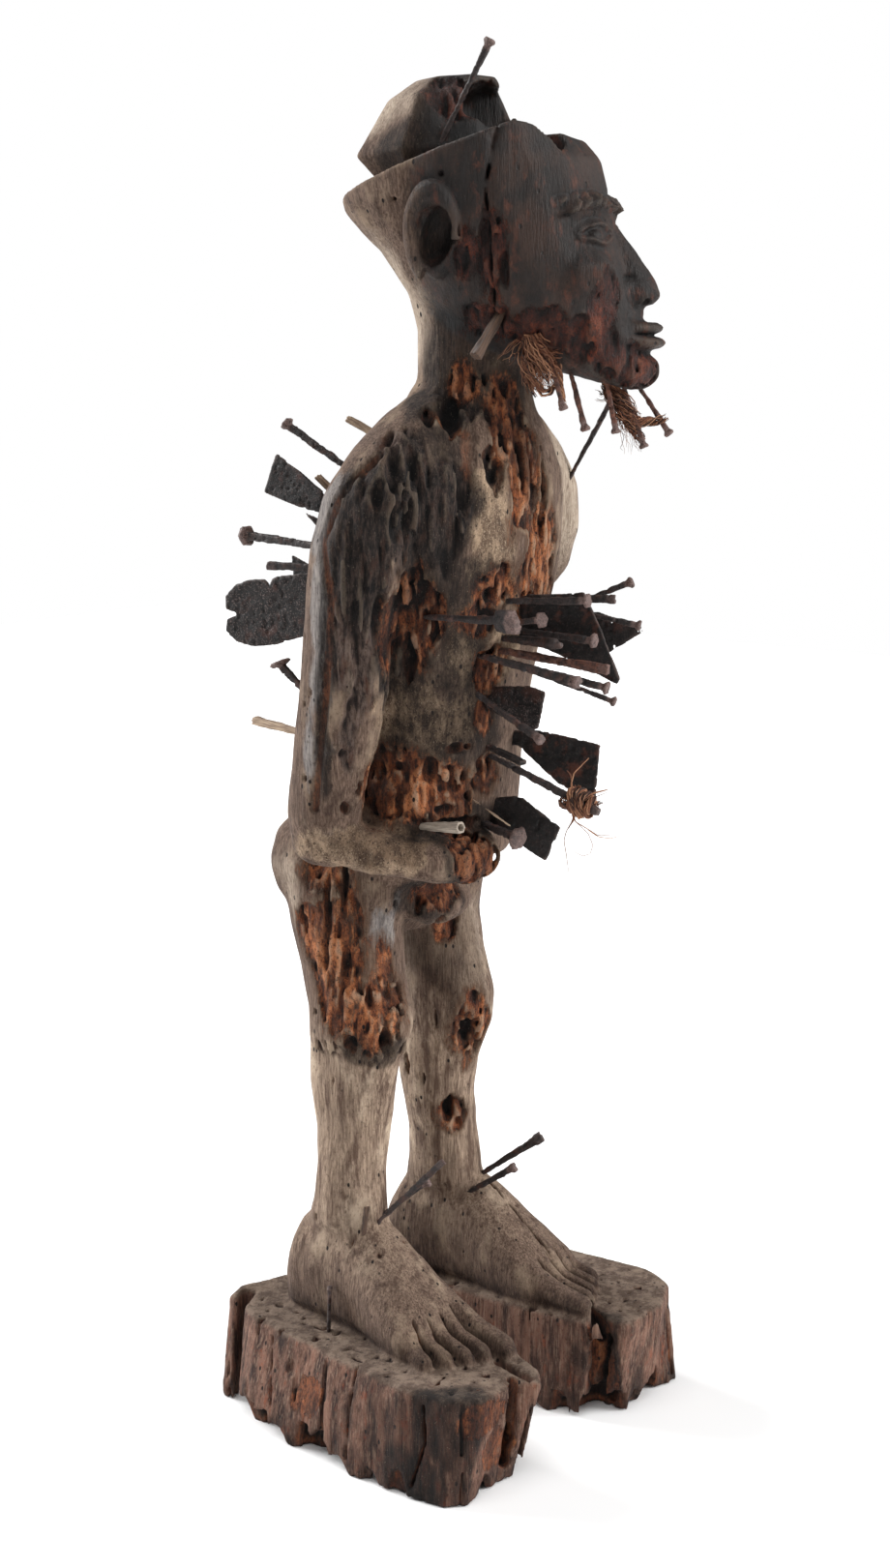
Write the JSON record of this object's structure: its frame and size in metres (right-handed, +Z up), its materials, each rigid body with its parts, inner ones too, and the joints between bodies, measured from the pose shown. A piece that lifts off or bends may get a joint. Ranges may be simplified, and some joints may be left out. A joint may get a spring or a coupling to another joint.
{
  "type": "nkisi nkondi figure",
  "caption": "Standing power figure carved from one log on two foot blocks, with rot, nails, blades, pegs and tufts of fibre.",
  "frame": {"origin": "on the ground, under the middle of the whole figure's bounding box", "axes": "+Z up, the figure faces -Y and its left side is +X"},
  "size_m": [0.287, 0.2968, 0.9759],
  "materials": {
    "decayed_wood": "dark encrusted patina, worn grey where bare, orange and crumbling where rotted",
    "corroded_iron": "blackened, pitted and matt",
    "rusted_iron": "brown rust, matt",
    "pale_pegs": "pale, dry and grey-brown",
    "plant_fibre": "dry, frayed and brown"
  },
  "bodies": {
    "root": {"carved_figure": "decayed_wood", "crown_nail": "corroded_iron", "neck_peg": "pale_pegs", "shoulder_rod": "corroded_iron", "back_peg_upper": "pale_pegs", "back_nail_upper": "corroded_iron", "back_stub": "pale_pegs", "back_blade_flared": "corroded_iron", "back_strap": "corroded_iron", "back_nail_large": "corroded_iron", "back_nail_cut": "corroded_iron", "back_blade_small": "corroded_iron", "back_blade_leaf": "corroded_iron", "back_nail_bent": "corroded_iron", "back_peg_lower": "pale_pegs", "belly_nail_top": "corroded_iron", "belly_nail_raised": "corroded_iron", "belly_nail_cut": "corroded_iron", "belly_nail_far": "corroded_iron", "belly_nail_short": "corroded_iron", "belly_nail_middle": "corroded_iron", "belly_bolt": "rusted_iron", "belly_spike": "corroded_iron", "belly_bar": "rusted_iron", "belly_nail_low_near": "corroded_iron", "belly_nail_low_middle": "corroded_iron", "belly_nail_low_far": "corroded_iron", "belly_blade_wide": "corroded_iron", "belly_blade_pointed": "corroded_iron", "belly_blade_grey": "corroded_iron", "belly_nail_drooping": "corroded_iron", "belly_strap": "rusted_iron", "belly_blade_lower": "corroded_iron", "wrapped_nail": "corroded_iron", "belly_blade_dark": "corroded_iron", "thin_stick": "pale_pegs", "hand_nail": "corroded_iron", "bone_tube": "pale_pegs", "right_ankle_bar": "corroded_iron", "right_ankle_nail": "corroded_iron", "right_ankle_sliver": "pale_pegs", "left_ankle_bolt": "rusted_iron", "left_ankle_nail": "corroded_iron", "right_heel_bar": "corroded_iron", "throat_nail": "rusted_iron", "jaw_nail": "rusted_iron", "chin_nail_near": "rusted_iron", "chin_nail_middle": "rusted_iron", "chin_nail_far": "rusted_iron", "throat_tuft": "plant_fibre", "chin_tuft": "plant_fibre", "nail_wrapping": "plant_fibre"}
  },
  "joints": []
}
